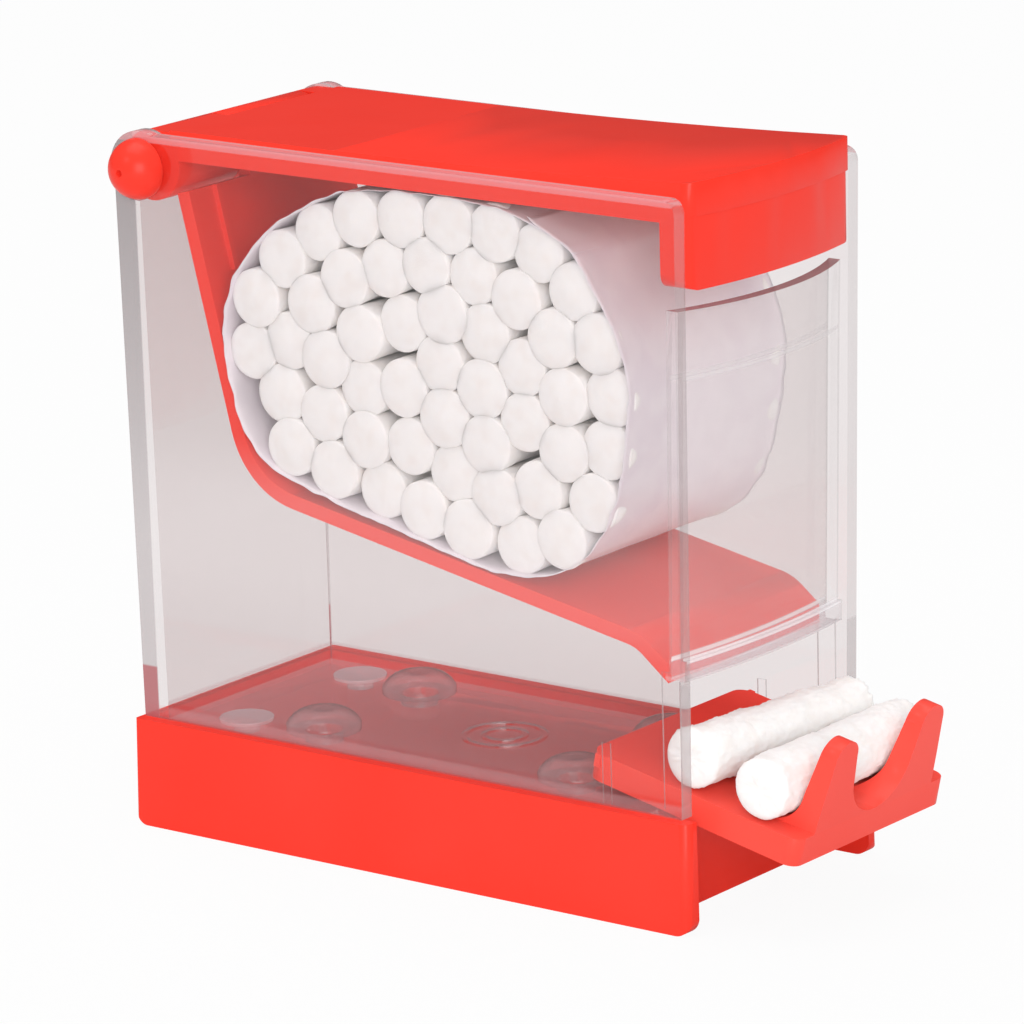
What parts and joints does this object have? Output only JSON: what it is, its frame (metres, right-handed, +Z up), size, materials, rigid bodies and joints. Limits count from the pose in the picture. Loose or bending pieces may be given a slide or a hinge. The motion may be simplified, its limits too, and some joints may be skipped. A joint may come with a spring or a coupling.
{
  "type": "cotton roll dispenser",
  "caption": "Clear dental cotton roll dispenser on a red base with suction cups, a hinged red lid, a hanging chute and a sliding two-prong tray.",
  "frame": {"origin": "on the base's underside, where it stands, on its centre line and 52.2 mm in front of its rear edge", "axes": "+X to the front, where the tray comes out; +Y to the dispenser's left; +Z up"},
  "size_m": [0.1232, 0.0548, 0.1088],
  "materials": {
    "red_plastic": "glossy red injection moulding",
    "clear_plastic": "polished clear styrene moulding",
    "clear_vinyl": "clear soft vinyl",
    "cotton": "soft white cotton",
    "wrapper_film": "thin milky film, slightly creased"
  },
  "bodies": {
    "housing": {"base_shell": "red_plastic", "clear_housing": "clear_plastic", "hinge_pin": "red_plastic", "hinge_cap": "red_plastic", "suction_cup_rear_right": "clear_vinyl", "suction_cup_rear_left": "clear_vinyl", "suction_cup_front_right": "clear_vinyl", "suction_cup_front_left": "clear_vinyl", "floor_plug_right": "clear_vinyl", "floor_plug_left": "clear_vinyl"},
    "lid": {"lid": "red_plastic"},
    "chute": {"chute": "red_plastic", "pack_wrapper": "wrapper_film", "pack_rolls_row_1": "cotton", "pack_rolls_row_2": "cotton", "pack_rolls_row_3": "cotton", "pack_rolls_row_4": "cotton", "pack_rolls_row_5": "cotton", "pack_rolls_row_6": "cotton"},
    "tray": {"tray": "red_plastic", "tray_roll_front": "cotton", "tray_roll_rear": "cotton"}
  },
  "joints": [
    {"name": "lid_hinge", "type": "hinge", "parent": "housing", "child": "lid", "pos_m": [-0.0477, 0, 0.1016], "axis": [0, -1, 0], "range_deg": [0, 105]},
    {"name": "chute_swing", "type": "hinge", "parent": "housing", "child": "chute", "pos_m": [-0.0477, 0, 0.1016], "axis": [0, 1, 0], "range_deg": [0, 3]},
    {"name": "tray_slide", "type": "slide", "parent": "housing", "child": "tray", "axis": [0.977, 0, -0.213], "range_m": [-0.016, 0]}
  ]
}
